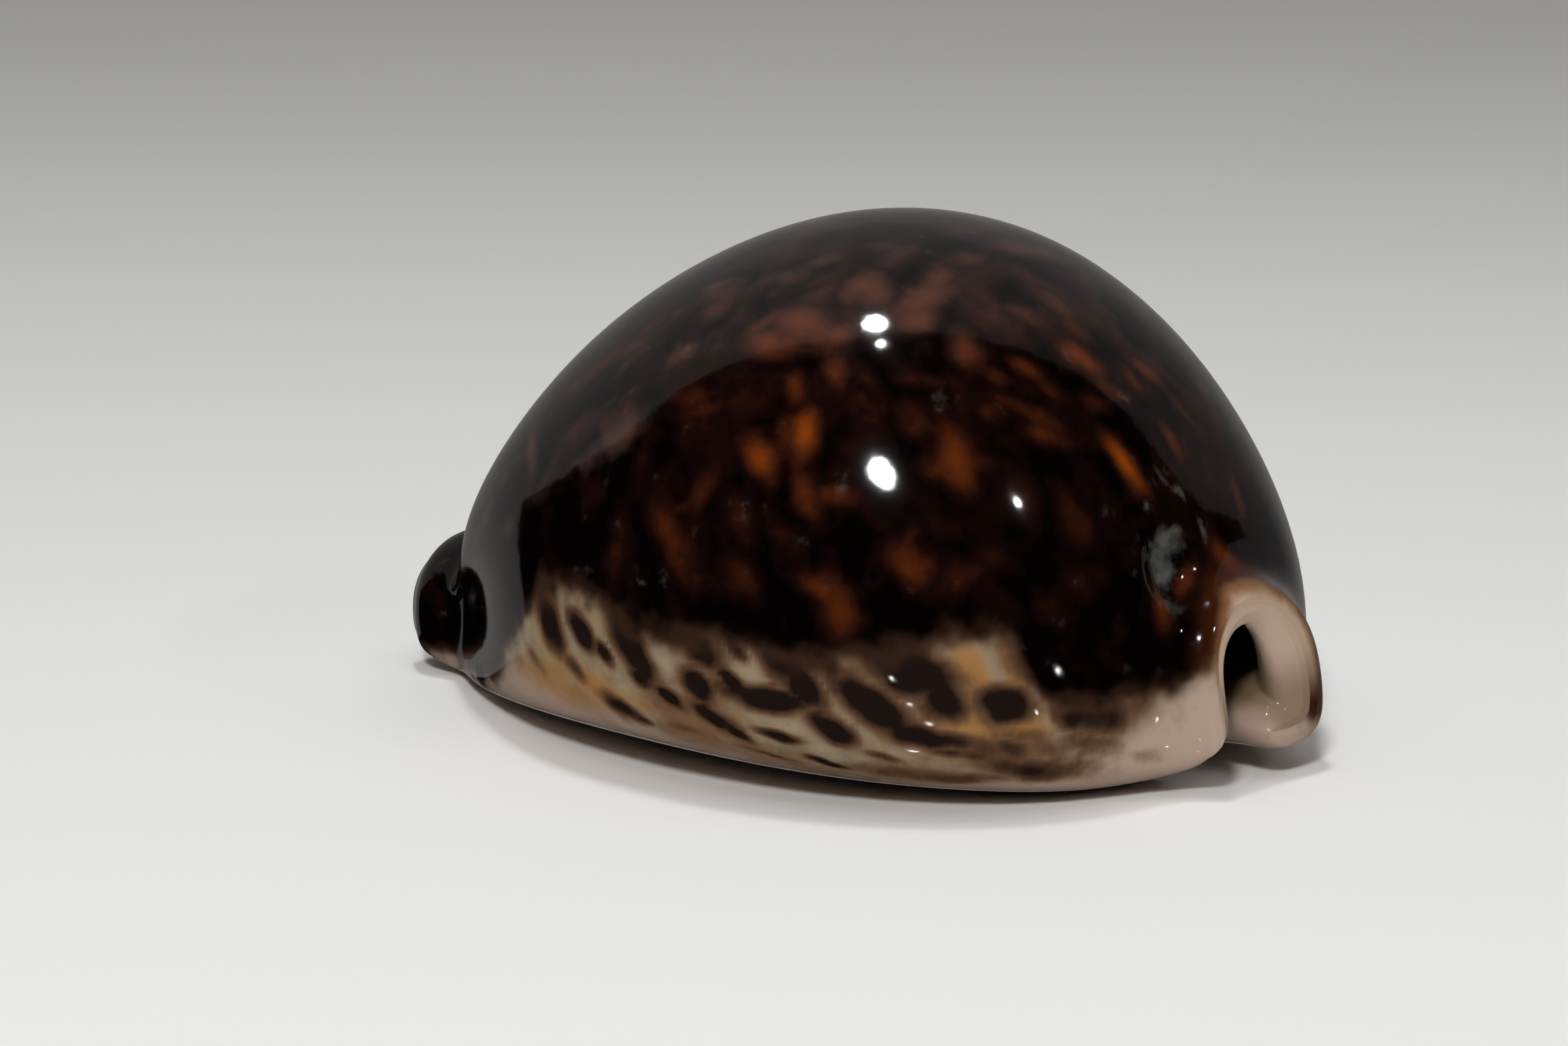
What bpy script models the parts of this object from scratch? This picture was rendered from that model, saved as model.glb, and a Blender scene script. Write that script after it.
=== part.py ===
"""A cowrie shell, grown as one piece, modelled at its real size in metres.

+X is the posterior end (the spire end, with the horseshoe-shaped canal), -X the anterior beak,
-Y the columellar side, +Y the outer lip's side and +Z the domed back. The shell is a rolled sheet:
each cross-section is a thick C, open below along the toothed slit. The C-sections are lofted from
the beak to the rim of the posterior canal, so the hollow inside opens through the slit and both canals.
"""
import math

import bmesh
import bpy
import numpy as np

MM = 0.001

# Cross-sections along the shell, in millimetres. For each one:
#   x      place along the shell            mid    y of the crest of the back
#   near, far    half widths towards -Y and +Y
#   top, side    heights of the back and of the widest place
#   base_n, base_f    heights of the underside, near and far lip
#   slit, gap    y of the slit's middle and half its width
#   lip_n, lip_f    thickness of the two lips    wall_n, wall_f    thickness of the two walls
#   lean   how far the section leans back for each mm of height    skew   and for each mm towards +Y
#   tuck   how far the sides are drawn in below the shoulder, at the beak's neck
SECTION_FIELDS = ("x mid near far top side base_n base_f slit gap "
                  "lip_n lip_f wall_n wall_f lean skew tuck").split()
SECTIONS = [
    (-40.0, 0.8, 5.8, 5.4, 10.6, 5.6, 1.70, 1.70, 1.5, 1.8, 2.8, 2.8, 2.8, 2.8, 0.00, 0.00, 0.0),
    (-39.0, 0.8, 7.2, 6.8, 11.9, 6.0, 1.20, 1.20, 1.5, 1.9, 3.4, 3.4, 3.4, 3.4, 0.00, 0.00, 0.0),
    (-37.2, 0.8, 7.9, 7.6, 12.1, 6.2, 0.80, 0.80, 1.6, 2.0, 3.8, 3.8, 3.8, 3.8, 0.00, 0.00, 0.0),
    (-35.6, 0.8, 8.0, 8.0, 11.2, 6.4, 0.35, 0.35, 1.6, 2.1, 4.2, 4.2, 3.6, 3.6, 0.00, 0.00, 0.3),
    (-34.2, 0.8, 8.8, 9.4, 11.2, 6.9, 0.35, 0.25, 1.7, 2.3, 4.6, 4.6, 3.4, 3.4, 0.00, 0.00, 1.1),
    (-32.0, 0.6, 12.2, 13.8, 15.4, 8.6, 0.20, 0.10, 2.0, 2.5, 5.4, 5.4, 3.2, 3.2, 0.00, 0.00, 4.2),
    (-27.2, 0.3, 18.1, 19.2, 24.7, 10.6, 0.10, -0.20, 2.4, 2.6, 6.6, 6.6, 2.8, 2.8, 0.00, 0.00, 5.2),
    (-18.5, 0.0, 23.8, 25.0, 34.7, 12.0, 0.20, -0.30, 3.0, 2.6, 7.2, 7.2, 2.5, 2.5, 0.00, 0.00, 1.4),
    (-7.0, 0.0, 27.8, 28.8, 41.9, 13.2, 0.00, -0.30, 3.4, 2.5, 7.5, 7.5, 2.4, 2.4, 0.00, 0.00, 0.0),
    (4.0, 0.0, 29.8, 30.6, 44.7, 13.5, -0.30, -0.35, 3.4, 2.4, 7.5, 7.5, 2.4, 2.4, 0.00, 0.00, 0.0),
    (14.5, 0.0, 29.2, 30.4, 43.5, 13.3, -0.40, -0.40, 3.0, 2.3, 7.5, 7.5, 2.4, 2.4, 0.00, 0.00, 0.0),
    (23.5, 0.0, 25.6, 28.2, 37.6, 12.8, -0.20, -0.10, 2.2, 2.3, 7.2, 7.2, 2.6, 2.6, 0.00, 0.00, 0.0),
    (30.0, 0.0, 20.0, 24.0, 29.3, 11.8, 0.20, 0.60, 1.0, 2.3, 5.6, 7.6, 3.4, 3.6, 0.00, 0.00, 0.0),
    (34.0, 0.0, 13.2, 17.6, 22.2, 10.6, 1.20, 1.50, -0.6, 2.2, 3.8, 6.8, 3.4, 5.6, 0.00, 0.05, 0.0),
    (36.0, 0.0, 9.2, 12.7, 18.8, 9.8, 2.10, 2.00, -1.4, 2.3, 2.6, 5.8, 2.8, 6.4, 0.10, 0.10, 0.0),
    (37.4, 0.0, 7.4, 10.0, 17.6, 9.4, 3.00, 2.30, -1.9, 2.5, 2.2, 4.8, 2.4, 5.9, 0.16, 0.14, 0.0),
    (38.6, 0.0, 6.8, 8.8, 17.0, 9.0, 3.60, 2.60, -2.1, 2.7, 2.0, 4.0, 2.4, 5.2, 0.20, 0.18, 0.0),
]

LIP_ANGLES = (0, 22, 44, 66)           # degrees round the quarter from the lip to the side
BACK_ANGLES = range(180, -1, -18)      # degrees round the back, from the near side to the far side
LOWER_SQUARENESS = 2.9                 # 2 is an ellipse, more is squarer
BACK_SQUARENESS = 2.1
TUCK_LOW = {66: 0.75, 44: 0.2}         # shares of the tuck round the quarter
TUCK_AT = {180: 0.9, 162: 0.35, 18: 0.35, 0: 0.9}    # and at the lowest angles of the back
WALL_AT_SIDE = 1.2                     # the wall is thicker at the sides than the table's value
LIP_EDGE_OUTER, LIP_EDGE_INNER = 0.30, 0.70    # heights of the lip's edge, as shares of its thickness

# Rims of the two canals: each step moves outwards (mm) and keeps a share of the wall's thickness
BEAK_RIM = ((0.9, 0.45),)
CANAL_RIM = ((0.9, 0.80), (1.3, 0.30))
# The lips' corners at the rear canal are rounded off: mm cut from the lip's edge inwards, the shares of the
# last three rings, and the far lip's share
LIP_END_CUTS = (2.4, 1.2, 0.4)
CUT_SHARES = (0.3, 0.8, 1.0)
FAR_CUT = 0.3

# Teeth along both lips
TOOTH_COUNT = 26
TOOTH_START, TOOTH_END = -30.0, 31.0   # mm along the shell
TOOTH_HEIGHT = 0.42                    # mm above and below the lip's mean surface
TOOTH_REACH = 1.7                      # how many section points from the lip's edge the ridges fade over

# Spire: a shallow oval pit, just above the canal on the columellar side
SPIRE_AT = (34.6, -5.4, 18.8)          # mm
SPIRE_HALF_SIZE, SPIRE_DEPTH = (2.8, 2.8, 3.8), 1.1    # mm

REST_HEIGHT = 0.45                     # mm: everything lower is worn flat, where the lips rest

RINGS_PER_TOOTH = 3
BEAK_RINGS, CANAL_RINGS = 9, 12
NODE = "cowrie_shell"
BODY_COLOUR = (0.045, 0.018, 0.009, 1.0)
BODY_ROUGHNESS = 0.12


def spline_weights(count, places, closed=False):
    """Uniform cubic B-spline weights of `count` control points at `places`, in control-point units."""
    places = np.asarray(places, float)
    first = np.floor(places).astype(int)
    f = places - first
    parts = ((1 - f) ** 3 / 6, (3 * f**3 - 6 * f**2 + 4) / 6,
             (-3 * f**3 + 3 * f**2 + 3 * f + 1) / 6, f**3 / 6)
    weights = np.zeros((len(places), count))
    for step, part in zip((-1, 0, 1, 2), parts):
        index = first + step
        index = index % count if closed else np.clip(index, 0, count - 1)
        np.add.at(weights, (np.arange(len(places)), index), part)
    return weights


def power(value, squareness):
    """Signed superellipse power of a sine or cosine."""
    return math.copysign(abs(value) ** (2 / squareness), value)


def half_section(s, wall_n=0.0, wall_f=0.0, wall_top=0.0, lip_n=0.0, lip_f=0.0, edge=LIP_EDGE_OUTER):
    """(y, z) points from the near lip's edge over the back to the far lip's edge, inset by the walls."""
    side = s["side"]
    roll_n = s["slit"] - s["gap"] - s["lip_n"] / 2
    roll_f = s["slit"] + s["gap"] + s["lip_f"] / 2
    left = s["mid"] - s["near"] + wall_n
    right = s["mid"] + s["far"] - wall_f
    low_n, low_f, top = s["base_n"] + lip_n, s["base_f"] + lip_f, s["top"] - wall_top

    def quarter(roll, edge_y, low, tuck):
        return [(roll + (edge_y + tuck * TUCK_LOW.get(a, 0) - roll) * power(math.sin(math.radians(a)), LOWER_SQUARENESS),
                 side + (low - side) * power(math.cos(math.radians(a)), LOWER_SQUARENESS))
                for a in LIP_ANGLES]

    points = [(s["slit"] - s["gap"], s["base_n"] + edge * s["lip_n"])]
    points += quarter(roll_n, left, low_n, s["tuck"])
    for angle in BACK_ANGLES:
        c, v = math.cos(math.radians(angle)), math.sin(math.radians(angle))
        reach = s["mid"] - left if c < 0 else right - s["mid"]
        tuck = math.copysign(s["tuck"] * TUCK_AT.get(angle, 0), c)
        points.append((s["mid"] + reach * power(c, BACK_SQUARENESS) - tuck,
                       side + (top - side) * power(v, BACK_SQUARENESS)))
    points += reversed(quarter(roll_f, right, low_f, -s["tuck"]))
    points.append((s["slit"] + s["gap"], s["base_f"] + edge * s["lip_f"]))
    return points


def section_ring(values):
    """The closed C of one cross-section: outer wall one way, inner wall back."""
    s = dict(zip(SECTION_FIELDS, values))
    outer = half_section(s)
    inner = half_section(s, s["wall_n"] * WALL_AT_SIDE, s["wall_f"] * WALL_AT_SIDE,
                         (s["wall_n"] + s["wall_f"]) / 2, s["lip_n"], s["lip_f"], LIP_EDGE_INNER)
    ring = np.array([(s["x"], y, z) for y, z in outer + inner[::-1]])
    ring[:, 0] += s["skew"] * (ring[:, 1] - s["mid"]) - s["lean"] * (ring[:, 2] - s["side"])
    return ring


def rolled_rim(ring, outwards, share):
    """A ring moved outwards and drawn in towards the middle of the wall."""
    middle = (ring + ring[::-1]) / 2
    return middle + (ring - middle) * share + np.array([outwards, 0, 0])


def control_net():
    rings = [section_ring(values) for values in SECTIONS]
    beak = [rolled_rim(rings[0], -out, share) for out, share in reversed(BEAK_RIM)]
    canal = [rolled_rim(rings[-1], out, share) for out, share in CANAL_RIM]
    net = np.array(beak + rings + canal)
    half = net.shape[1] // 2
    for step_in, cut in enumerate(LIP_END_CUTS):
        for row, share in zip((-3, -2, -1), CUT_SHARES):
            net[row, [step_in, -1 - step_in], 0] -= cut * share
            net[row, [half - 1 - step_in, half + step_in], 0] -= cut * share * FAR_CUT
    return net


def places_along(net):
    """Where the rings go: evenly over each tooth, then evenly out to both rims."""
    fine = np.linspace(-1, len(net), 2000)
    x = spline_weights(len(net), fine) @ net[:, :, 0].mean(1)
    pitch = (TOOTH_END - TOOTH_START) / TOOTH_COUNT
    toothed = TOOTH_START + np.arange(TOOTH_COUNT * RINGS_PER_TOOTH + 1) * pitch / RINGS_PER_TOOTH
    first, last = np.interp(toothed[[0, -1]], x, fine)
    return np.concatenate([np.linspace(-1, first, BEAK_RINGS + 1)[:-1],
                           np.interp(toothed, x, fine),
                           np.linspace(last, len(net), CANAL_RINGS + 1)[1:]])


def places_around(half):
    """Points round the C, closer together on the lips; `half` is the number of points in its outer wall."""
    lip = [0, 0.55, 1.1, 1.75, 2.5, 3.5, 4.5]
    back = list(np.linspace(5.4, half - 6.4, 11))
    outer = lip + back + [half - 1 - place for place in reversed(lip)]
    return np.array(outer + [2 * half - 1 - place for place in reversed(outer)])


def add_teeth(points, around, count):
    """Ridges across both lips' edges."""
    half = count // 2
    pitch = (TOOTH_END - TOOTH_START) / TOOTH_COUNT
    x = points[:, :, 0]
    inside = np.clip((x - TOOTH_START) / pitch, 0, 1) * np.clip((TOOTH_END - x) / pitch, 0, 1)
    wave = np.cos(2 * math.pi * (x - TOOTH_START) / pitch) * inside * TOOTH_HEIGHT
    for edge, sign in ((-0.5, 1.0), (half - 0.5, -1.0)):
        away = np.abs((around - edge + half) % count - half)
        fade = np.clip(1 - away / TOOTH_REACH, 0, 1) ** 0.7
        points[:, :, 1] += sign * wave * fade
        points[:, :, 2] += -0.4 * wave * fade
    return points


def add_spire(points, outer_count):
    """Sinks the spire pit in the outer wall."""
    outer = points[:, :outer_count]
    along = np.gradient(outer, axis=0)
    across = np.gradient(outer, axis=1)
    normal = np.cross(along, across)          # points out of the shell
    normal /= np.linalg.norm(normal, axis=2, keepdims=True)
    away = np.linalg.norm((outer - np.array(SPIRE_AT)) / np.array(SPIRE_HALF_SIZE), axis=2)
    sink = SPIRE_DEPTH * np.exp(-away ** 3)
    points[:, :outer_count] = outer - normal * sink[:, :, None]
    return points


def shell_points():
    """Rings of points in metres, standing on z = 0 with the middle of the base at the origin."""
    net = control_net()
    count = net.shape[1]
    around = places_around(count // 2)
    along = spline_weights(len(net), places_along(net))
    points = np.einsum("rk,kjc,nj->rnc", along, net, spline_weights(count, around, closed=True))
    points = add_teeth(points, around, count)
    points = add_spire(points, len(around) // 2)
    points[:, :, 2] = np.maximum(points[:, :, 2], REST_HEIGHT)
    low, high = points.min((0, 1)), points.max((0, 1))
    points -= np.array([(low[0] + high[0]) / 2, (low[1] + high[1]) / 2, low[2]])
    return points * MM


def build_shell(points, material, collection):
    """One closed body: the loft's rings bridged, and each rim closed across the wall."""
    rings, around = points.shape[:2]
    mesh = bpy.data.meshes.new(NODE)
    shell = bmesh.new()
    verts = [[shell.verts.new(p) for p in ring] for ring in points]
    for i in range(rings - 1):
        for j in range(around):
            k = (j + 1) % around
            shell.faces.new((verts[i][j], verts[i + 1][j], verts[i + 1][k], verts[i][k]))
    for ring in (verts[0], verts[-1]):
        for j in range(around // 2 - 1):
            shell.faces.new((ring[j], ring[j + 1], ring[around - 2 - j], ring[around - 1 - j]))
    bmesh.ops.recalc_face_normals(shell, faces=shell.faces)
    shell.to_mesh(mesh)
    shell.free()
    mesh.shade_smooth()
    mesh.set_sharp_from_angle(angle=math.radians(40))
    mesh.materials.append(material)
    obj = bpy.data.objects.new(NODE, mesh)
    collection.objects.link(obj)
    return obj


def shell_material():
    material = bpy.data.materials.new("shell")
    material.use_nodes = True
    surface = material.node_tree.nodes["Principled BSDF"]
    surface.inputs["Base Color"].default_value = BODY_COLOUR
    surface.inputs["Roughness"].default_value = BODY_ROUGHNESS
    surface.inputs["Metallic"].default_value = 0.0
    return material


for old in list(bpy.data.objects):
    bpy.data.objects.remove(old, do_unlink=True)
parts = bpy.data.collections.new("cowrie")
bpy.context.scene.collection.children.link(parts)
build_shell(shell_points(), shell_material(), parts)
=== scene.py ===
import math

import bpy
import numpy as np
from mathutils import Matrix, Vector, noise
from mathutils.bvhtree import BVHTree


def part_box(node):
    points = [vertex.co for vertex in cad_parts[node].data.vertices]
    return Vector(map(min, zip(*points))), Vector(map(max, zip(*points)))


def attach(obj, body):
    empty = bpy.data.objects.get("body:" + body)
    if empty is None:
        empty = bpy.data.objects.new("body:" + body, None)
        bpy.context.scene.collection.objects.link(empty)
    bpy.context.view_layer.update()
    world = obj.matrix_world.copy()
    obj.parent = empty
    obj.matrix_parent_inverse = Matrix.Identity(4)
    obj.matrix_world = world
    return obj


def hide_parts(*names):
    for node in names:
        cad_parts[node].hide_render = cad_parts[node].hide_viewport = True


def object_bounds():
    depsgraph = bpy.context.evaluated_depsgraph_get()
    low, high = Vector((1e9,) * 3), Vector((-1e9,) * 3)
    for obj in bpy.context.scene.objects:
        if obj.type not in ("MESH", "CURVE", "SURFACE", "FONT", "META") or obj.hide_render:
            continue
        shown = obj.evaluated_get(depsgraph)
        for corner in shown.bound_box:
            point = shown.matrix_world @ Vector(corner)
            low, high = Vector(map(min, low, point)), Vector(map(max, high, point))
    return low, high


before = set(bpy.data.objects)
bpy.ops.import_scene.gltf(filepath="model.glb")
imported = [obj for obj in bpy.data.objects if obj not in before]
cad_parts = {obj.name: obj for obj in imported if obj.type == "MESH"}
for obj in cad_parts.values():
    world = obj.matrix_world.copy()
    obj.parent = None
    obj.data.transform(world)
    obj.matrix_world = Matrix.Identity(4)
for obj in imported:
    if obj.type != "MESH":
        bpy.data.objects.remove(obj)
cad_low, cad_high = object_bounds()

MM = 0.001

# The camera: a long lens in front of the shell's near side, 12 degrees above the table, from the canal's
# side. PHOTO is the photograph's size in pixels, and every pixel named in this script is in that frame.
# LOOKED_AT is the point that it turns round; OFF_CENTRE shifts its aim from there, in metres.
PHOTO = (2350, 1568)
AZIMUTH, ELEVATION, DISTANCE = math.radians(32), math.radians(12), 0.450
FOCAL_PIXELS, SENSOR_MM, NEAREST_SEEN = 8142, 36.0, 0.01
LOOKED_AT = Vector((-0.0004, -0.0005, 0.01955))
OFF_CENTRE = Vector((-0.00442, -0.00287))

to_camera = Vector((math.sin(AZIMUTH) * math.cos(ELEVATION), -math.cos(AZIMUTH) * math.cos(ELEVATION),
                    math.sin(ELEVATION)))
picture_right = Vector((math.cos(AZIMUTH), math.sin(AZIMUTH), 0))
picture_up = to_camera.cross(picture_right)
eye = LOOKED_AT + to_camera * DISTANCE
aim = LOOKED_AT + picture_right * OFF_CENTRE.x + picture_up * OFF_CENTRE.y
camera = bpy.data.objects.new("camera", bpy.data.cameras.new("camera"))
bpy.context.scene.collection.objects.link(camera)
camera.data.sensor_width = SENSOR_MM
camera.data.lens = FOCAL_PIXELS / PHOTO[0] * SENSOR_MM
camera.data.clip_start = NEAREST_SEEN
camera.location = eye
camera.rotation_euler = (eye - aim).to_track_quat("Z", "Y").to_euler()
bpy.context.scene.camera = camera


# The shell's wall. A cowrie is one sheet of shell rolled on itself until its outer lip nearly meets the
# coil, which leaves the toothed slit below and a canal at each end. Here a flat grid is rolled the same way,
# section by section, into a thick C, and its long edges and its two rims are closed.
#
# Each section, in mm: its place x along the shell, the crest's y (mid), the half widths (near, far), the
# heights of the back (top), of the widest place (side) and of the underside (base_n, base_f), the slit's
# middle and half width (slit, gap), the thickness of the lips and of the walls, how far it leans back for
# each mm of height (lean) and towards the far side (skew), and how far the sides are drawn in (tuck).
SECTION_FIELDS = ("x mid near far top side base_n base_f slit gap "
                  "lip_n lip_f wall_n wall_f lean skew tuck").split()
SECTIONS = [
    (-40.0, 0.8, 5.8, 5.4, 10.6, 5.6, 1.70, 1.70, 1.5, 1.8, 2.8, 2.8, 2.8, 2.8, 0.00, 0.00, 0.0),
    (-39.0, 0.8, 7.2, 6.8, 11.9, 6.0, 1.20, 1.20, 1.5, 1.9, 3.4, 3.4, 3.4, 3.4, 0.00, 0.00, 0.0),
    (-37.2, 0.8, 7.9, 7.6, 12.1, 6.2, 0.80, 0.80, 1.6, 2.0, 3.8, 3.8, 3.8, 3.8, 0.00, 0.00, 0.0),
    (-35.6, 0.8, 8.0, 8.0, 11.2, 6.4, 0.35, 0.35, 1.6, 2.1, 4.2, 4.2, 3.6, 3.6, 0.00, 0.00, 0.3),
    (-34.2, 0.8, 8.8, 9.4, 11.2, 6.9, 0.35, 0.25, 1.7, 2.3, 4.6, 4.6, 3.4, 3.4, 0.00, 0.00, 1.1),
    (-32.0, 0.6, 12.2, 13.8, 15.4, 8.6, 0.20, 0.10, 2.0, 2.5, 5.4, 5.4, 3.2, 3.2, 0.00, 0.00, 4.2),
    (-27.2, 0.3, 18.1, 19.2, 24.7, 10.6, 0.10, -0.20, 2.4, 2.6, 6.6, 6.6, 2.8, 2.8, 0.00, 0.00, 5.2),
    (-18.5, 0.0, 23.8, 25.0, 34.7, 12.0, 0.20, -0.30, 3.0, 2.6, 7.2, 7.2, 2.5, 2.5, 0.00, 0.00, 1.4),
    (-7.0, 0.0, 27.8, 28.8, 41.9, 13.2, 0.00, -0.30, 3.4, 2.5, 7.5, 7.5, 2.4, 2.4, 0.00, 0.00, 0.0),
    (4.0, 0.0, 29.8, 30.6, 44.7, 13.5, -0.30, -0.35, 3.4, 2.4, 7.5, 7.5, 2.4, 2.4, 0.00, 0.00, 0.0),
    (14.5, 0.0, 29.2, 30.4, 43.5, 13.3, -0.40, -0.40, 3.0, 2.3, 7.5, 7.5, 2.4, 2.4, 0.00, 0.00, 0.0),
    (23.5, 0.0, 25.6, 28.2, 37.6, 12.8, -0.20, -0.10, 2.2, 2.3, 7.2, 7.2, 2.6, 2.6, 0.00, 0.00, 0.0),
    (30.0, 0.0, 20.0, 24.0, 29.3, 11.8, 0.20, 0.60, 1.0, 2.3, 5.6, 7.6, 3.4, 3.6, 0.00, 0.00, 0.0),
    (34.0, 0.0, 13.2, 17.6, 22.2, 10.6, 1.20, 1.50, -0.6, 2.2, 3.8, 6.8, 3.4, 5.6, 0.00, 0.05, 0.0),
    (36.0, 0.0, 9.2, 12.7, 18.8, 9.8, 2.10, 2.00, -1.4, 2.3, 2.6, 5.8, 2.8, 6.4, 0.10, 0.10, 0.0),
    (37.4, 0.0, 7.4, 10.0, 17.6, 9.4, 3.00, 2.30, -1.9, 2.5, 2.2, 4.8, 2.4, 5.9, 0.16, 0.14, 0.0),
    (38.6, 0.0, 6.8, 8.8, 17.0, 9.0, 3.60, 2.60, -2.1, 2.7, 2.0, 4.0, 2.4, 5.2, 0.20, 0.18, 0.0),
]
# The angles in degrees at which a section has its points, on the lower quarters and over the back, and the
# share of the tuck at each of them.
LIP_ANGLES, BACK_ANGLES = (0, 22, 44, 66), range(180, -1, -18)
TUCK_BELOW, TUCK_ABOVE = {66: 0.75, 44: 0.2}, {180: 0.9, 162: 0.35, 18: 0.35, 0: 0.9}
LOWER_SQUARENESS, BACK_SQUARENESS = 2.9, 2.1
WALL_AT_SIDE = 1.2                                # the wall is thicker at the sides than the table's value
LIP_EDGE_OUTER, LIP_EDGE_INNER = 0.30, 0.70       # heights of the lip's edge, as shares of its thickness
# The rims, beyond the first and last section: mm outwards, and the share of the wall's thickness left.
BEAK_RIM, CANAL_RIM = ((0.9, 0.45),), ((0.9, 0.80), (1.3, 0.30))


def spline_weights(count, places, closed=False):
    """Uniform cubic B-spline weights of `count` control points at `places`, in control-point units."""
    places = np.asarray(places, float)
    first = np.floor(places).astype(int)
    f = places - first
    shares = ((1 - f) ** 3 / 6, (3 * f**3 - 6 * f**2 + 4) / 6,
              (-3 * f**3 + 3 * f**2 + 3 * f + 1) / 6, f**3 / 6)
    weights = np.zeros((len(places), count))
    for offset, share in zip((-1, 0, 1, 2), shares):
        index = first + offset
        index = index % count if closed else np.clip(index, 0, count - 1)
        np.add.at(weights, (np.arange(len(places)), index), share)
    return weights


def power(value, squareness):
    """A sine or cosine pushed outwards, so that a circle becomes a rounded square."""
    return math.copysign(abs(value) ** (2 / squareness), value)


def half_section(s, wall_n=0.0, wall_f=0.0, wall_top=0.0, lip_n=0.0, lip_f=0.0, edge=LIP_EDGE_OUTER):
    """(y, z) points from the near lip's edge over the back to the far lip's edge, inset by the walls."""
    side, top = s["side"], s["top"] - wall_top
    roll_n = s["slit"] - s["gap"] - s["lip_n"] / 2
    roll_f = s["slit"] + s["gap"] + s["lip_f"] / 2
    near_side = s["mid"] - s["near"] + wall_n
    far_side = s["mid"] + s["far"] - wall_f

    def quarter(roll, edge_y, low, tuck):
        corner = []
        for angle in LIP_ANGLES:
            reach = edge_y + tuck * TUCK_BELOW.get(angle, 0) - roll
            corner.append((roll + reach * power(math.sin(math.radians(angle)), LOWER_SQUARENESS),
                           side + (low - side) * power(math.cos(math.radians(angle)), LOWER_SQUARENESS)))
        return corner

    points = [(s["slit"] - s["gap"], s["base_n"] + edge * s["lip_n"])]
    points += quarter(roll_n, near_side, s["base_n"] + lip_n, s["tuck"])
    for angle in BACK_ANGLES:
        cosine, sine = math.cos(math.radians(angle)), math.sin(math.radians(angle))
        reach = s["mid"] - near_side if cosine < 0 else far_side - s["mid"]
        tuck = math.copysign(s["tuck"] * TUCK_ABOVE.get(angle, 0), cosine)
        points.append((s["mid"] + reach * power(cosine, BACK_SQUARENESS) - tuck,
                       side + (top - side) * power(sine, BACK_SQUARENESS)))
    points += reversed(quarter(roll_f, far_side, s["base_f"] + lip_f, -s["tuck"]))
    points.append((s["slit"] + s["gap"], s["base_f"] + edge * s["lip_f"]))
    return points


def section_ring(values):
    """The closed C of one cross-section: outer wall one way, inner wall back."""
    s = dict(zip(SECTION_FIELDS, values))
    outer = half_section(s)
    inner = half_section(s, s["wall_n"] * WALL_AT_SIDE, s["wall_f"] * WALL_AT_SIDE,
                         (s["wall_n"] + s["wall_f"]) / 2, s["lip_n"], s["lip_f"], LIP_EDGE_INNER)
    ring = np.array([(s["x"], y, z) for y, z in outer + inner[::-1]])
    ring[:, 0] += s["skew"] * (ring[:, 1] - s["mid"]) - s["lean"] * (ring[:, 2] - s["side"])
    return ring


def rolled_rim(ring, outwards, share):
    """A ring moved outwards and drawn in towards the middle of the wall."""
    middle = (ring + ring[::-1]) / 2
    return middle + (ring - middle) * share + np.array([outwards, 0, 0])


rings = [section_ring(values) for values in SECTIONS]
net = np.array([rolled_rim(rings[0], -out, share) for out, share in reversed(BEAK_RIM)] + rings
               + [rolled_rim(rings[-1], out, share) for out, share in CANAL_RIM])
net_around = net.shape[1]
half_around = net_around // 2

# The lips' corners are rounded off at the rear canal: mm cut from the lip's edge and the next two points, and
# the share of that in each of the last three rings. The far lip is cut less.
LIP_END_CUTS, CUT_SHARES, FAR_CUT = (2.4, 1.2, 0.4), (0.3, 0.8, 1.0), 0.3
for step_in, cut in enumerate(LIP_END_CUTS):
    near_corner, far_corner = [step_in, -1 - step_in], [half_around - 1 - step_in, half_around + step_in]
    for row, share in zip((-3, -2, -1), CUT_SHARES):
        net[row, near_corner, 0] -= cut * share
        net[row, far_corner, 0] -= cut * share * FAR_CUT

# The grid's rows run along the shell, six to a tooth; its columns run round the C, most of them outside.
TOOTH_COUNT, TOOTH_START, TOOTH_END = 26, -30.0, 31.0
CELLS_PER_TOOTH, BEAK_CELLS, CANAL_CELLS = 6, 28, 34
OUTER_CELLS, INNER_CELLS = 324, 104
SAMPLES_ALONG = 4000
tooth_pitch = (TOOTH_END - TOOTH_START) / TOOTH_COUNT
sampled = np.linspace(-1, len(net), SAMPLES_ALONG)
x_sampled = spline_weights(len(net), sampled) @ net[:, :, 0].mean(1)
tooth_rows = TOOTH_START + np.arange(TOOTH_COUNT * CELLS_PER_TOOTH + 1) * tooth_pitch / CELLS_PER_TOOTH
first_toothed, last_toothed = np.interp(tooth_rows[[0, -1]], x_sampled, sampled)
places_along = np.concatenate([np.linspace(-1, first_toothed, BEAK_CELLS + 1)[:-1],
                               np.interp(tooth_rows, x_sampled, sampled),
                               np.linspace(last_toothed, len(net), CANAL_CELLS + 1)[1:]])
places_around = np.concatenate([np.linspace(-0.5, half_around - 0.5, OUTER_CELLS + 1),
                                np.linspace(half_around - 0.5, net_around - 0.5, INNER_CELLS + 1)[1:]])
weights_along = spline_weights(len(net), places_along)
points = np.einsum("rk,kjc,nj->rnc", weights_along, net,
                   spline_weights(net_around, places_around, closed=True))
partners = np.einsum("rk,kjc,nj->rnc", weights_along[[0, -1]], net,
                     spline_weights(net_around, net_around - 1 - places_around, closed=True))

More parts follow.
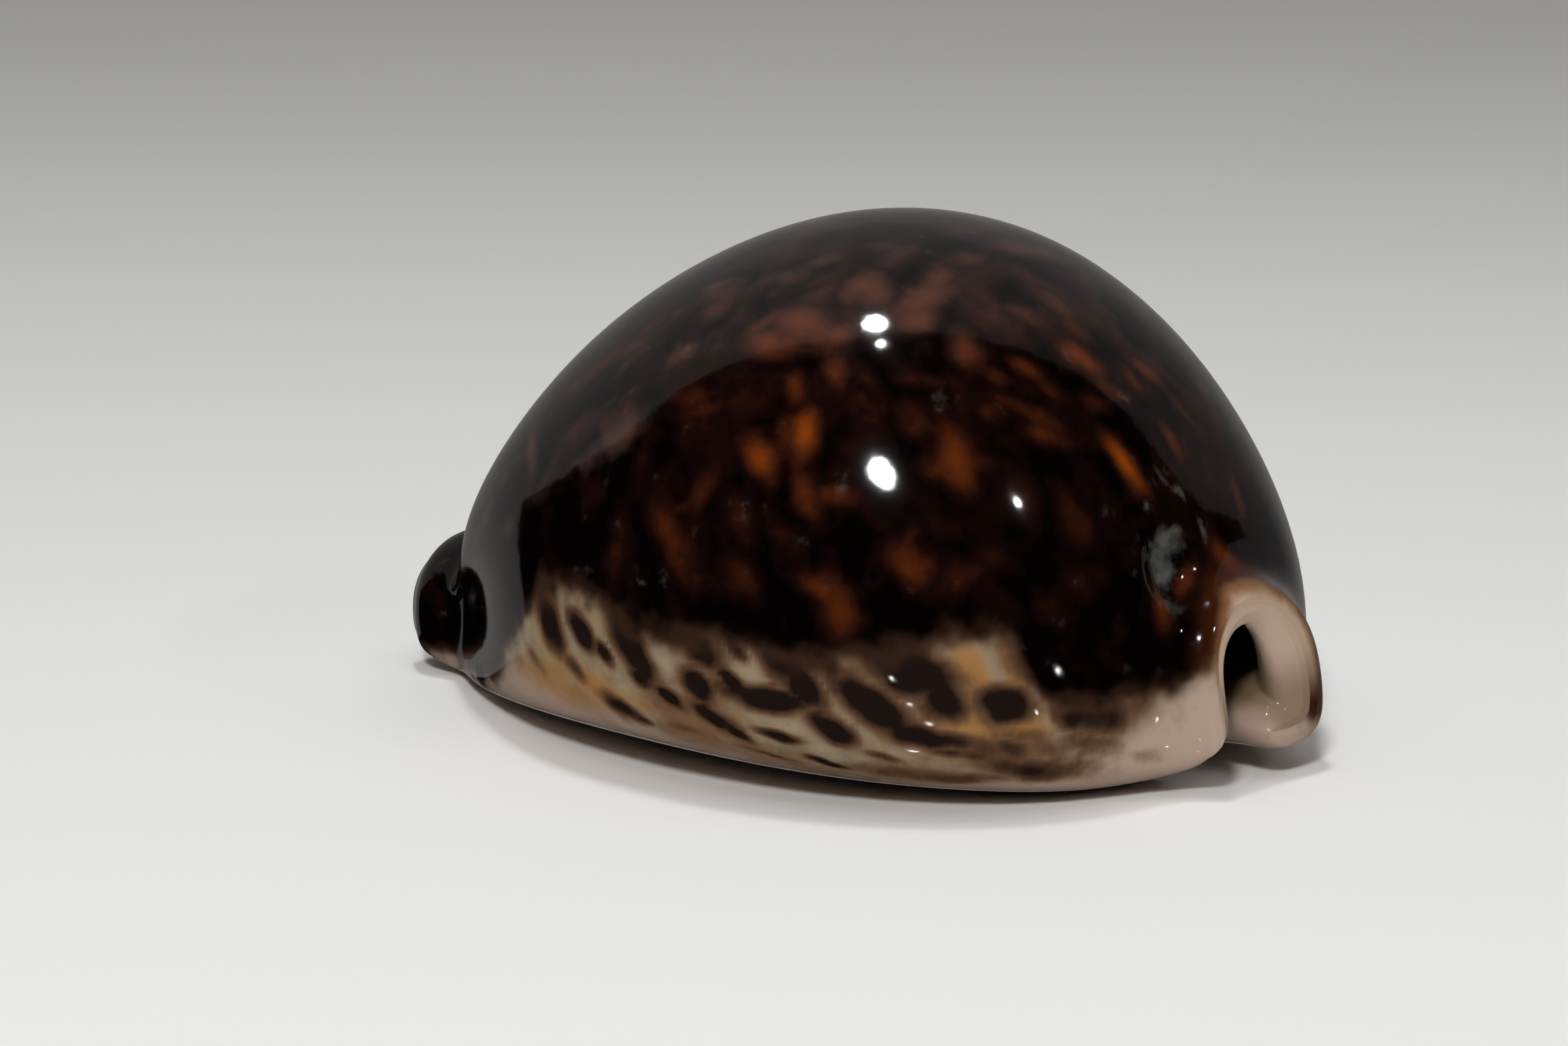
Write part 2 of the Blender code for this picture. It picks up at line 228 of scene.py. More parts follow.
# The teeth: rounded ridges across both lips' edges, a little uneven in height, as grown ones are.
TOOTH_HEIGHT, TOOTH_REACH, TOOTH_FADE, TOOTH_DROP, TOOTH_UNEVEN = 0.42, 1.7, 0.7, 0.4, 0.15
TOOTH_SEED = 7
uneven = np.random.default_rng(TOOTH_SEED)
along_mm = points[:, :, 0]
phase = (along_mm - TOOTH_START) / tooth_pitch
tapering = np.clip(phase, 0, 1) * np.clip((TOOTH_END - along_mm) / tooth_pitch, 0, 1)
for edge, sign in ((-0.5, 1.0), (half_around - 0.5, -1.0)):
    sizes = 1 + uneven.uniform(-TOOTH_UNEVEN, TOOTH_UNEVEN, TOOTH_COUNT + 2)
    size = np.interp(phase, np.arange(TOOTH_COUNT + 2), sizes)
    wave = np.cos(2 * math.pi * phase) * tapering * TOOTH_HEIGHT * size
    from_edge = np.abs((places_around - edge + half_around) % net_around - half_around)
    fade = np.clip(1 - from_edge / TOOTH_REACH, 0, 1) ** TOOTH_FADE
    points[:, :, 1] += sign * wave * fade
    points[:, :, 2] -= TOOTH_DROP * wave * fade

# The spire: the first whorls are buried, and show as a shallow upright hollow over the rear canal.
SPIRE_AT, SPIRE_DEPTH, SPIRE_HALF_SIZE = np.array((34.6, -5.4, 18.8)), 1.1, np.array((2.8, 2.8, 3.8))
outer = points[:, :OUTER_CELLS + 1]
normals = np.cross(np.gradient(outer, axis=0), np.gradient(outer, axis=1))
normals /= np.linalg.norm(normals, axis=2, keepdims=True)
from_spire = np.linalg.norm((outer - SPIRE_AT) / SPIRE_HALF_SIZE, axis=2)
points[:, :OUTER_CELLS + 1] = outer - normals * (SPIRE_DEPTH * np.exp(-from_spire ** 3))[:, :, None]

# Each rim is drawn in to the middle of the wall, where a narrow face closes it.
RIM_SHARES = (0.85, 0.5, 0.06)
middles = (points[[0, -1]] + partners) / 2
drawn_in = [middles + (points[[0, -1]] - middles) * share for share in RIM_SHARES]
points = np.concatenate([[pair[0] for pair in reversed(drawn_in)], points, [pair[1] for pair in drawn_in]])

# It rests flat on the lowest part of both lips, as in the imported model, and is moved into that model's box.
REST_HEIGHT = 0.45
points[:, :, 2] = np.maximum(points[:, :, 2], REST_HEIGHT)
box_low, box_high = (np.array(corner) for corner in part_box("cowrie_shell"))
points *= MM
points += (box_low + box_high) / 2 - (points.min((0, 1)) + points.max((0, 1))) / 2
points[:, :, 2] -= points[:, :, 2].min() - box_low[2]

rows, columns = points.shape[:2]
bpy.ops.object.select_all(action="DESELECT")
bpy.ops.mesh.primitive_grid_add(x_subdivisions=columns - 1, y_subdivisions=rows - 1, size=1)
shell = bpy.context.object
shell.name = shell.data.name = "shell"
shell.data.vertices.foreach_set("co", points.reshape(-1))
shell.data.update()


def keep_mark(name, values):
    """One number for each vertex, kept in the mesh for the enamel to read."""
    layer = shell.data.attributes.new(name, "FLOAT", "POINT")
    layer.data.foreach_set("value", np.asarray(values, np.float32))


# Which points belong to the hollow inside, with a short blend over each lip's edge.
LIP_BLEND = 1.5
depth_inside = np.minimum(places_around - half_around + 0.5, net_around - 0.5 - places_around)
keep_mark("inside", np.tile(np.clip(depth_inside / LIP_BLEND, 0, 1), rows))

# How far each point is from the rear canal's rim, in mm along the shell; the rim's pale band is narrower on
# the near side, which starts NEAR_FROM mm off the middle and is full NEAR_BLEND mm farther.
NEAR_RIM, NEAR_FROM, NEAR_BLEND = 2.0, 2, 4
hops = np.linalg.norm(np.diff(points, axis=0), axis=2)[::-1].cumsum(axis=0)[::-1] / MM
from_canal = np.concatenate([hops, np.zeros((1, columns))])
near_share = np.clip((-points[:, :, 1] / MM - NEAR_FROM) / NEAR_BLEND, 0, 1)
from_canal += NEAR_RIM * near_share * (from_canal > 0)
keep_mark("from_canal", from_canal.reshape(-1))

# The two long edges meet in the near lip and are merged; each rim is then closed across the wall.
SAME_PLACE = 1e-7
bpy.ops.object.mode_set(mode="EDIT")
bpy.ops.mesh.select_all(action="SELECT")
bpy.ops.mesh.remove_doubles(threshold=SAME_PLACE)
bpy.ops.object.mode_set(mode="OBJECT")
faces_at_edge = {}
for face in shell.data.polygons:
    for key in face.edge_keys:
        faces_at_edge[key] = faces_at_edge.get(key, 0) + 1
for open_end in (-1, 1):
    for elements in (shell.data.polygons, shell.data.edges, shell.data.vertices):
        elements.foreach_set("select", [False] * len(elements))
    for border in shell.data.edges:
        ends_x = [shell.data.vertices[i].co.x for i in border.vertices]
        border.select = faces_at_edge.get(border.key, 0) == 1 and min(ends_x) * open_end > 0
    bpy.ops.object.mode_set(mode="EDIT")
    bpy.context.tool_settings.mesh_select_mode = (False, True, False)
    bpy.ops.mesh.edge_face_add()
    bpy.ops.object.mode_set(mode="OBJECT")
bpy.ops.object.mode_set(mode="EDIT")
bpy.ops.mesh.select_all(action="SELECT")
bpy.ops.mesh.normals_make_consistent(inside=False)
bpy.ops.object.mode_set(mode="OBJECT")

# The enamel's markings. The animal's mantle lays them down in layers: a cream ground with brown spots, then
# a nearly black coat over the back, thin enough in places for the amber below to glow through. Each mark is
# a stroke between two pixels of the photograph, laid on the shell where the camera sees that pixel, with
# its half width in mm and its strength; marks on the sides that the photograph doesn't show are drawn at
# random, with the same sizes and spacing. Some marks are painted light instead: painted reflection in the
# spire pit and on the back's left shoulder, and painted shade along the base's lower edge.
surface = BVHTree.FromPolygons([v.co for v in shell.data.vertices],
                               [p.vertices for p in shell.data.polygons])


def of_vertices(what):
    values = np.empty(len(shell.data.vertices) * 3)
    shell.data.vertices.foreach_get(what, values)
    return values.reshape(-1, 3)


places, facing = of_vertices("co"), of_vertices("normal")
camera_turn = camera.rotation_euler.to_matrix()


def on_shell(x, y):
    """The point of the shell that the camera sees at a pixel of the photograph."""
    ray = camera_turn @ Vector((x - PHOTO[0] / 2, PHOTO[1] / 2 - y, -FOCAL_PIXELS)).normalized()
    return surface.ray_cast(eye, ray)[0]


# The wander of a mark's outline: the size of its waves and how far they reach, then how many times smaller
# the second, finer waves are, and their share of the reach. Without a seed, Blender's noise changes with
# the time of day.
LUMP, WANDER, FINER, FINER_SHARE = 3.2 * MM, 0.42 * MM, 2.7, 0.35
NOISE_SEED = 7
noise.seed_set(NOISE_SEED)


def wandering(place):
    """The place moved a little by smooth noise, so that a stroke laid through it has no straight edge."""
    place = Vector(place)
    return np.array(place + noise.noise_vector(place / LUMP) * WANDER
                    + noise.noise_vector(place / LUMP * FINER) * WANDER * FINER_SHARE)


wandered = np.array([wandering(place) for place in places])
FALL, SHORTEST = 0.693, 1e-9                      # a stroke has half its strength at its half width


def painted(strokes):
    """How strongly the strokes mark each vertex: soft ovals, the strongest one kept."""
    strengths = np.zeros(len(places))
    for start, end, half_width, strength in strokes:
        start, end = wandering(start), wandering(end)
        way, centre = end - start, (start + end) / 2
        length = max(np.linalg.norm(way), SHORTEST)
        lengthwise = (wandered - centre) @ way / length
        sideways = np.linalg.norm(wandered - centre - lengthwise[:, None] * way / length, axis=1)
        away = (lengthwise / (length / 2 + half_width * MM)) ** 2 + (sideways / (half_width * MM)) ** 2
        strengths = np.maximum(strengths, strength * np.exp(-FALL * away))
    return strengths


def seen_strokes(rows_of_pixels):
    """Strokes (x0, y0, x1, y1, half width, strength) in the photograph's pixels, laid on the shell."""
    strokes = []
    for x0, y0, x1, y1, half_width, strength in rows_of_pixels:
        start, end = on_shell(x0, y0), on_shell(x1, y1)
        if start and end:
            strokes.append((np.array(start), np.array(end), half_width, strength))
    return strokes


# Islands where the coat is thin and the amber below glows through.
AMBER = [
    (1210, 630, 1205, 668, 1.08, 1.00), (1203, 668, 1188, 662, 0.63, 0.60),
    (1130, 674, 1148, 696, 1.13, 0.88), (1150, 700, 1158, 722, 0.88, 0.50),
    (1200, 722, 1214, 758, 1.08, 0.62), (1215, 738, 1278, 746, 1.01, 0.50),
    (985, 762, 1030, 850, 1.52, 0.50), (1062, 714, 1044, 752, 1.13, 0.50),
    (1044, 755, 1005, 766, 0.51, 0.36), (1010, 596, 1068, 590, 0.88, 0.45),
    (1012, 618, 1110, 606, 0.76, 0.42), (1246, 540, 1256, 572, 1.01, 0.56),
    (1190, 572, 1194, 598, 0.88, 0.55), (1100, 852, 1122, 880, 1.39, 0.42),
    (1208, 872, 1255, 898, 0.88, 0.60), (1252, 890, 1264, 940, 1.39, 0.64),
    (930, 800, 920, 862, 1.52, 0.30), (975, 660, 960, 692, 1.13, 0.30), (1425, 660, 1440, 712, 1.39, 0.74),
    (1400, 702, 1470, 694, 1.01, 0.58), (1360, 616, 1380, 640, 1.13, 0.45),
    (1440, 508, 1452, 540, 1.34, 0.63), (1350, 566, 1410, 574, 0.76, 0.36),
    (1528, 544, 1550, 560, 1.01, 0.60), (1500, 600, 1600, 648, 0.88, 0.46),
    (1550, 648, 1590, 660, 1.01, 0.56), (1640, 568, 1680, 592, 1.01, 0.46),
    (1630, 600, 1650, 606, 0.76, 0.42), (1668, 668, 1705, 720, 1.01, 1.00),
    (1708, 724, 1700, 742, 0.76, 0.50), (1748, 648, 1762, 674, 0.88, 0.66),
    (1708, 548, 1728, 562, 1.01, 0.75), (1350, 838, 1376, 856, 1.39, 0.64),
    (1340, 830, 1368, 802, 0.88, 0.40), (1418, 872, 1462, 858, 1.26, 0.36),
    (1600, 760, 1626, 812, 1.39, 0.42), (1520, 720, 1540, 762, 1.52, 0.32),
    (1848, 720, 1862, 772, 1.01, 0.50), (1828, 828, 1852, 850, 1.26, 0.72),
    (1734, 892, 1744, 930, 1.01, 0.62), (1766, 886, 1786, 854, 0.76, 0.60),
    (1640, 862, 1600, 882, 1.89, 0.24), (1302, 422, 1312, 446, 1.49, 0.79),
    (1350, 470, 1418, 432, 1.34, 0.77), (1188, 480, 1222, 482, 1.79, 0.82),
    (1130, 512, 1172, 520, 1.49, 0.79), (1122, 500, 1180, 464, 0.90, 0.62),
    (1222, 484, 1240, 512, 1.49, 0.71), (1608, 526, 1636, 546, 1.49, 0.71),
    (1100, 432, 1058, 442, 1.49, 0.51), (802, 640, 795, 700, 1.01, 0.52), (898, 642, 950, 612, 1.01, 0.44),
    (1500, 370, 1572, 382, 1.49, 0.51), (1330, 392, 1362, 370, 1.34, 0.43),
    (1560, 440, 1600, 470, 1.34, 0.56), (1800, 578, 1812, 592, 1.01, 0.52),
    (1762, 602, 1792, 640, 0.88, 0.46), (880, 560, 960, 510, 1.49, 0.43),
    (1240, 440, 1200, 452, 1.34, 0.46), (1470, 470, 1500, 480, 1.34, 0.46),
    (1285, 436, 1298, 424, 1.40, 0.75), (1400, 424, 1412, 412, 1.30, 0.70),
    (1365, 482, 1382, 476, 1.30, 0.79), (1248, 506, 1262, 500, 1.20, 0.79),
    (930, 652, 952, 640, 1.00, 0.60), (1060, 470, 1082, 458, 1.20, 0.48),
    (1230, 392, 1250, 384, 1.20, 0.53), (1440, 392, 1462, 388, 1.20, 0.53),
    (1180, 420, 1200, 412, 1.10, 0.48), (1530, 470, 1548, 478, 1.20, 0.57),
    (1600, 486, 1622, 500, 1.20, 0.53), (1690, 560, 1706, 580, 1.00, 0.60),
    (960, 500, 982, 486, 1.20, 0.44), (1010, 540, 1034, 524, 1.10, 0.48), (860, 650, 872, 632, 1.00, 0.50),
    (1320, 372, 1340, 368, 1.20, 0.44), (1180, 640, 1176, 668, 1.10, 0.50),
    (1290, 560, 1310, 580, 1.10, 0.35), (1470, 610, 1490, 622, 1.00, 0.35),
    (1480, 560, 1500, 566, 0.90, 0.40), (1560, 580, 1580, 590, 0.90, 0.40),
    (1400, 780, 1420, 800, 1.20, 0.24), (1160, 790, 1180, 820, 1.30, 0.28),
    (1480, 830, 1500, 850, 1.20, 0.28), (880, 720, 890, 750, 1.20, 0.25),
    (1100, 760, 1115, 790, 1.20, 0.30), (1560, 900, 1580, 912, 1.20, 0.25),
]
# Brown spots on the cream sides, some of them half under the coat's edge. Some long flat strokes along the
# lower outline are painted shade where the base turns down; they are marked below.
SPOTS_AND_BASE_SHADE = [
    (815, 905, 832, 950, 1.42, 0.90), (862, 935, 880, 962, 1.04, 1.00), (898, 971, 912, 986, 0.62, 0.95),
    (924, 928, 962, 1000, 1.49, 1.00), (950, 1008, 966, 1026, 0.62, 0.85),
    (1040, 970, 1062, 986, 1.26, 0.90), (1095, 960, 1108, 980, 0.57, 0.85),
    (1035, 1018, 1052, 1036, 1.09, 1.00), (988, 1034, 1014, 1053, 0.62, 0.90),
    (1050, 1064, 1085, 1086, 0.98, 1.00), (1085, 1086, 1120, 1108, 0.52, 0.90),
    (855, 993, 867, 1006, 0.90, 0.55), (793, 972, 812, 1002, 0.90, 0.40),
    (918, 1053, 950, 1070, 0.98, 0.78), (950, 1070, 976, 1084, 0.52, 0.60),
    (1100, 1036, 1200, 1055, 1.03, 1.00), (1084, 1008, 1112, 1040, 0.75, 0.95),
    (1158, 972, 1182, 992, 1.67, 0.92), (1195, 1018, 1215, 1046, 1.26, 0.95),
    (1236, 984, 1250, 1010, 0.86, 0.82), (1225, 1078, 1266, 1106, 1.03, 1.00),
    (1142, 1097, 1192, 1111, 0.52, 0.95), (1212, 1134, 1262, 1150, 0.48, 0.85),
    (1272, 1030, 1338, 1082, 1.44, 1.00), (1328, 992, 1400, 1020, 1.84, 1.00),
    (1402, 1036, 1424, 1056, 1.26, 1.00), (1340, 1096, 1452, 1114, 0.92, 0.92),
    (1400, 1126, 1444, 1132, 0.57, 0.75), (1490, 1054, 1524, 1058, 1.38, 1.00),
    (1552, 984, 1600, 1000, 1.84, 1.00), (1620, 1070, 1676, 1082, 1.32, 0.74),
    (1588, 1068, 1612, 1082, 0.98, 0.72), (1504, 1118, 1536, 1130, 0.86, 0.70),
    # Painted shade where the base turns down: the first stroke on the next line and the first on the line
    # after.
    (1560, 1138, 1640, 1146, 1.50, 0.42), (1600, 1108, 1665, 1118, 1.30, 0.50),
    (1480, 1146, 1590, 1156, 1.30, 0.72), (1660, 1060, 1720, 1070, 1.20, 0.40),
    (1690, 1130, 1730, 1135, 0.80, 0.25), (1180, 1000, 1230, 1006, 0.80, 0.60),
    (1440, 1128, 1482, 1136, 0.69, 0.62), (1300, 1128, 1342, 1140, 0.52, 0.65),
    # Painted shade along the lower outline: both strokes on the next line.
    (1120, 1121, 1196, 1142, 0.34, 0.60), (1300, 1152, 1560, 1160, 1.10, 0.62),
    (1560, 1110, 1600, 1120, 0.92, 0.36), (1000, 1086, 1050, 1100, 0.69, 0.40),
    (1130, 935, 1185, 958, 1.70, 0.95), (1245, 948, 1300, 962, 1.60, 0.85),
    (1330, 955, 1372, 985, 1.50, 0.85), (998, 932, 1042, 950, 1.50, 0.85),
    (1545, 958, 1600, 960, 1.80, 0.95), (1640, 1000, 1700, 1012, 1.80, 0.90),
    # Painted shade low on the base: both strokes on the next line.
    (1420, 1116, 1600, 1124, 1.20, 0.55), (1500, 1098, 1560, 1106, 0.90, 0.50),
    (1385, 1060, 1410, 1075, 0.90, 0.50), (1060, 925, 1100, 940, 1.30, 0.70),
    (1390, 935, 1410, 950, 1.00, 0.50), (1580, 1030, 1640, 1046, 1.30, 0.80),
]
# Golden stains in the cream.
GOLD = [
    (1448, 1000, 1455, 1080, 1.50, 1.00), (1430, 1086, 1542, 1093, 1.00, 1.00),
    (1514, 960, 1528, 1022, 0.95, 0.85), (1272, 1008, 1260, 1062, 0.80, 0.50),
    (820, 962, 862, 1002, 1.26, 0.55), (860, 1002, 930, 1052, 1.61, 0.65),
    (800, 990, 850, 1012, 1.03, 0.55), (1330, 1075, 1300, 1030, 0.69, 0.45),
    (1540, 1060, 1560, 1080, 0.80, 0.5), (780, 1008, 900, 1058, 1.8, 0.6),
    (930, 1040, 1040, 1078, 1.2, 0.45), (1480, 1100, 1560, 1120, 1.6, 0.6),
    (870, 905, 905, 945, 0.69, 0.35), (1340, 945, 1400, 945, 0.69, 0.35),
]
# Painted reflection: a grey oval in the spire pit, where the pit mirrors the canopy, thin grey lines round
# it, and a faint line at the left.
PIT_REFLECTION_STROKES = [
    (1746, 822, 1744, 858, 1.15, 1.0), (1727, 695, 1738, 712, 0.40, 0.6), (1738, 712, 1718, 735, 0.35, 0.5),
    (1718, 735, 1712, 780, 0.40, 0.55), (1712, 780, 1702, 835, 0.40, 0.5),
    (1702, 835, 1692, 885, 0.35, 0.35), (1762, 735, 1788, 760, 0.40, 0.5),
    (1788, 760, 1803, 800, 0.40, 0.5), (1722, 800, 1722, 850, 0.30, 0.4), (788, 846, 821, 846, 0.30, 0.3),
    (821, 846, 859, 852, 0.30, 0.3), (859, 852, 909, 866, 0.30, 0.3), (909, 866, 986, 877, 0.30, 0.25),
    (986, 877, 1042, 877, 0.30, 0.25),
]
# Painted reflection: pinkish-brown patches on the back's left shoulder, standing for the canopy's reflection
# there, and half hidden by the canopy's own reflection.
SHOULDER_REFLECTION_STROKES = [
    (892, 678, 950, 634, 1.5, 0.9), (838, 676, 926, 606, 1.7, 0.45), (928, 558, 976, 516, 1.0, 0.5),
    (952, 520, 1024, 462, 1.2, 0.45), (1000, 546, 1084, 508, 1.4, 0.5), (1060, 432, 1096, 420, 0.9, 0.6),
    (716, 770, 768, 694, 1.6, 0.5), (780, 762, 836, 702, 1.3, 0.5), (712, 812, 738, 752, 1.2, 0.6),
    (748, 800, 772, 776, 1.0, 0.5), (794, 656, 802, 712, 0.7, 0.8), (840, 610, 900, 548, 1.2, 0.4),
    (1110, 440, 1190, 408, 1.5, 0.5), (986, 490, 1030, 452, 1.0, 0.35),
]
# Where the black coat ends below, and where the pale base begins, from the beak to the rear canal:
# pixels on the near side, and mm along and up on the far side, blended over the ends.
COAT_EDGE = [
    (645, 975), (668, 1000), (690, 1010), (725, 1020), (742, 1010), (765, 955), (785, 925), (805, 885),
    (830, 878), (870, 878), (900, 893), (930, 915), (965, 935), (1000, 955), (1050, 955), (1110, 958),
    (1150, 975), (1200, 985), (1270, 985), (1325, 978), (1360, 965), (1400, 945), (1490, 944), (1515, 960),
    (1540, 1010), (1575, 1045), (1640, 1050), (1700, 1045), (1750, 1032), (1790, 1010), (1815, 992),
    (1832, 978),
]
BASE_EDGE = [
    (668, 1003), (700, 1014), (735, 1020), (760, 985), (800, 1020), (850, 1045), (900, 1068), (950, 1085),
    (1050, 1112), (1200, 1150), (1300, 1168), (1400, 1165), (1500, 1148), (1560, 1125), (1640, 1105),
    (1700, 1075), (1760, 1040), (1800, 1010),
]
FAR_COAT_EDGE = [
    (-40, 1.5), (-36, 1.5), (-31, 5), (-20, 9), (0, 10.5), (18, 9.5), (28, 8), (34, 5.5), (39, 5),
]
FAR_BASE_EDGE = [(-40, 0.5), (-33, 1.5), (-20, 3.5), (0, 4), (20, 4), (30, 3.5), (39, 3)]
FAR_FROM, FAR_BLEND = -3, 8


def mm_below(edge_pixels, far_edge):
    """Height of an edge line over each vertex, in mm: on the near side the line through the pixels, on the
    far side one in mm along and up, and a blend of the two over the ends."""
    line = sorted((p.x / MM, p.z / MM) for p in (on_shell(*pixel) for pixel in edge_pixels) if p)
    along, across, height = (places / MM).T
    far_share = np.clip((across - FAR_FROM) / FAR_BLEND, 0, 1)
    near, far = (np.interp(along, *np.array(edge).T) for edge in (line, far_edge))
    return near + (far - near) * far_share - height


coat = -mm_below(COAT_EDGE, FAR_COAT_EDGE)
base = mm_below(BASE_EDGE, FAR_BASE_EDGE)

# The strokes of the hidden sides, drawn at random: each is at a point of the outer wall that faces away from
# the camera, or nearly so, and has a half width in mm, a length in mm and a strength between the two given.
# Amber lies in the coat, spots and stains below its edge, and the base keeps clear of spots.
HIDDEN_AMBER = dict(count=90, half_widths=(0.7, 1.3), lengths=(0.3, 2.0), strengths=(0.35, 0.9))
HIDDEN_SPOTS = dict(count=170, half_widths=(0.6, 1.4), lengths=(0.5, 2.5), strengths=(0.7, 1.0))
HIDDEN_GOLD = dict(count=14, half_widths=(1.4, 2.2), lengths=(3.0, 8.0), strengths=(0.4, 0.8))
AMBER_FROM, SPOTS_UP_TO = 1.5, 2                  # mm over the coat's edge
SPOTS_CLEAR, GOLD_CLEAR = -1, 1                   # mm below the base's edge
STROKE_SEED = 11
FACES_CAMERA = 0.12                               # a point is seen above this cosine of its angle to the eye
draw = np.random.default_rng(STROKE_SEED)
towards_camera = np.array(eye) - places
towards_camera /= np.linalg.norm(towards_camera, axis=1)[:, None]
inside_share = np.empty(len(places))
shell.data.attributes["inside"].data.foreach_get("value", inside_share)
hidden = ((facing * towards_camera).sum(1) < FACES_CAMERA) & (inside_share == 0)


def hidden_strokes(where, count, half_widths, lengths, strengths):
    strokes = []
    for index in draw.choice(np.flatnonzero(where), count):
        slant = draw.normal(size=3)
        slant -= facing[index] * (slant @ facing[index])
        slant *= draw.uniform(*lengths) * MM / np.linalg.norm(slant)
        strokes.append((places[index] - slant / 2, places[index] + slant / 2,
                        draw.uniform(*half_widths), draw.uniform(*strengths)))
    return strokes


below_coat = hidden & (coat < SPOTS_UP_TO)
amber = painted(seen_strokes(AMBER) + hidden_strokes(hidden & (coat > AMBER_FROM), **HIDDEN_AMBER))
spots_and_base_shade = painted(seen_strokes(SPOTS_AND_BASE_SHADE) + hidden_strokes(below_coat & (base < SPOTS_CLEAR), **HIDDEN_SPOTS))
gold = painted(seen_strokes(GOLD) + hidden_strokes(below_coat & (base < GOLD_CLEAR), **HIDDEN_GOLD))
for name, values in (("coat", coat), ("base", base), ("amber", amber), ("spots_and_base_shade", spots_and_base_shade), ("gold", gold),
                     ("painted_pit_reflection", painted(seen_strokes(PIT_REFLECTION_STROKES))), ("painted_shoulder_reflection", painted(seen_strokes(SHOULDER_REFLECTION_STROKES)))):
    keep_mark(name, values)

# The enamel itself: glassy, porcelain-like shell in layers. From below: cream ground, golden stains, brown
# smudges, the pale pinkish base, brown spots with soft halos and painted shade along the base's lower edge,
# and the black coat with its amber islands and a crown partly painted as reflection, under painted
# reflections on the left shoulder and in the spire pit; the coat turns red-brown and then cream towards the
# rear canal's rim. The lining's darkening deep in the hollow is painted shade.
enamel = bpy.data.materials.new("enamel")
enamel.use_nodes = True
nodes, links = enamel.node_tree.nodes, enamel.node_tree.links
glaze = nodes["Principled BSDF"]
where_on_shell = nodes.new("ShaderNodeTexCoord").outputs["Object"]
FACTOR_IN, UNDER_IN, OVER_IN, MIXED_OUT = 0, 6, 7, 2      # the colour sockets of a mix node, by their place


def mottle(scale, detail=2.0, roughness=0.5):
    """Noise on the shell, between 0 and 1; `scale` is in lumps per metre."""
    lumps = nodes.new("ShaderNodeTexNoise")
    links.new(where_on_shell, lumps.inputs["Vector"])
    lumps.inputs["Scale"].default_value = scale
    lumps.inputs["Detail"].default_value = detail
    lumps.inputs["Roughness"].default_value = roughness
    return lumps.outputs["Fac"]


def mark(name):
    attribute = nodes.new("ShaderNodeAttribute")
    attribute.attribute_name = name
    return attribute.outputs["Fac"]


def feed(socket, value):
    """A number or a colour goes into the socket's own value, anything else is linked to it."""
    if isinstance(value, (int, float)):
        socket.default_value = value
    elif isinstance(value, tuple):
        socket.default_value = (*value, 1)
    else:
        links.new(value, socket)


def maths(operation, first_value, second_value):
    node = nodes.new("ShaderNodeMath")
    node.operation = operation
    feed(node.inputs[0], first_value)
    feed(node.inputs[1], second_value)
    return node.outputs[0]


def wobbled(value, lumps, amount):
    """A mark's strength, pushed up and down by noise so that its edge wanders."""
    shift = maths("MULTIPLY", maths("SUBTRACT", lumps, 0.5), amount)
    return maths("ADD", value, shift)


def step(value, low, high):
    """A soft step, from 0 where the value is `low` to 1 where it is `high`."""
    ramp = nodes.new("ShaderNodeMapRange")
    ramp.interpolation_type = "SMOOTHSTEP"
    links.new(value, ramp.inputs["Value"])
    ramp.inputs["From Min"].default_value = low
    ramp.inputs["From Max"].default_value = high
    return ramp.outputs["Result"]


def colours(value, *stops):
    ramp = nodes.new("ShaderNodeValToRGB")
    links.new(value, ramp.inputs["Fac"])
    band = ramp.color_ramp
    while len(band.elements) < len(stops):
        band.elements.new(0.5)
    for element, (place, colour) in zip(band.elements, stops):
        element.position, element.color = place, (*colour, 1)
    return ramp.outputs["Color"]


def layered(share, under, over):
    """One colour over another, as thick as `share` says."""
    mix = nodes.new("ShaderNodeMix")
    mix.data_type = "RGBA"
    feed(mix.inputs[FACTOR_IN], share)
    feed(mix.inputs[UNDER_IN], under)
    feed(mix.inputs[OVER_IN], over)
    return mix.outputs[MIXED_OUT]


# The cream sides and the base, with their spots and the painted shade along the base's lower edge. In each
# layer, wobbled() is given how far the noise pushes the mark, and step() where the layer starts to show and
# where it covers: strengths from 0 to 1 for the strokes, mm for the base, the coat and the canal. The noise's
# numbers are lumps per metre and fineness.
GOLDEN, SMUDGE, PALE_BASE = (0.42, 0.21, 0.07), (0.25, 0.135, 0.068), (0.53, 0.395, 0.315)
HALO, SPOT = (0.145, 0.075, 0.038), (0.016, 0.009, 0.007)
fine, medium, broad, lumpy = mottle(900, 3), mottle(330, 3, 0.6), mottle(110, 2), mottle(420, 3, 0.6)
ground = colours(medium, (0.35, (0.27, 0.205, 0.125)), (0.5, (0.37, 0.285, 0.18)),
                 (0.68, (0.46, 0.37, 0.26)))
stained = layered(step(wobbled(mark("gold"), medium, 0.4), 0.12, 0.62), ground, GOLDEN)
smudged = layered(step(wobbled(broad, fine, 0.2), 0.47, 0.68), stained, SMUDGE)
based = layered(step(wobbled(mark("base"), medium, 3.0), -1.5, 2.5), smudged, PALE_BASE)
spot_and_shade_strength = wobbled(mark("spots_and_base_shade"), medium, 0.55)
haloed_and_shaded = layered(step(spot_and_shade_strength, 0.08, 0.46), based, HALO)
spotted_and_shaded = layered(step(spot_and_shade_strength, 0.34, 0.74), haloed_and_shaded, SPOT)

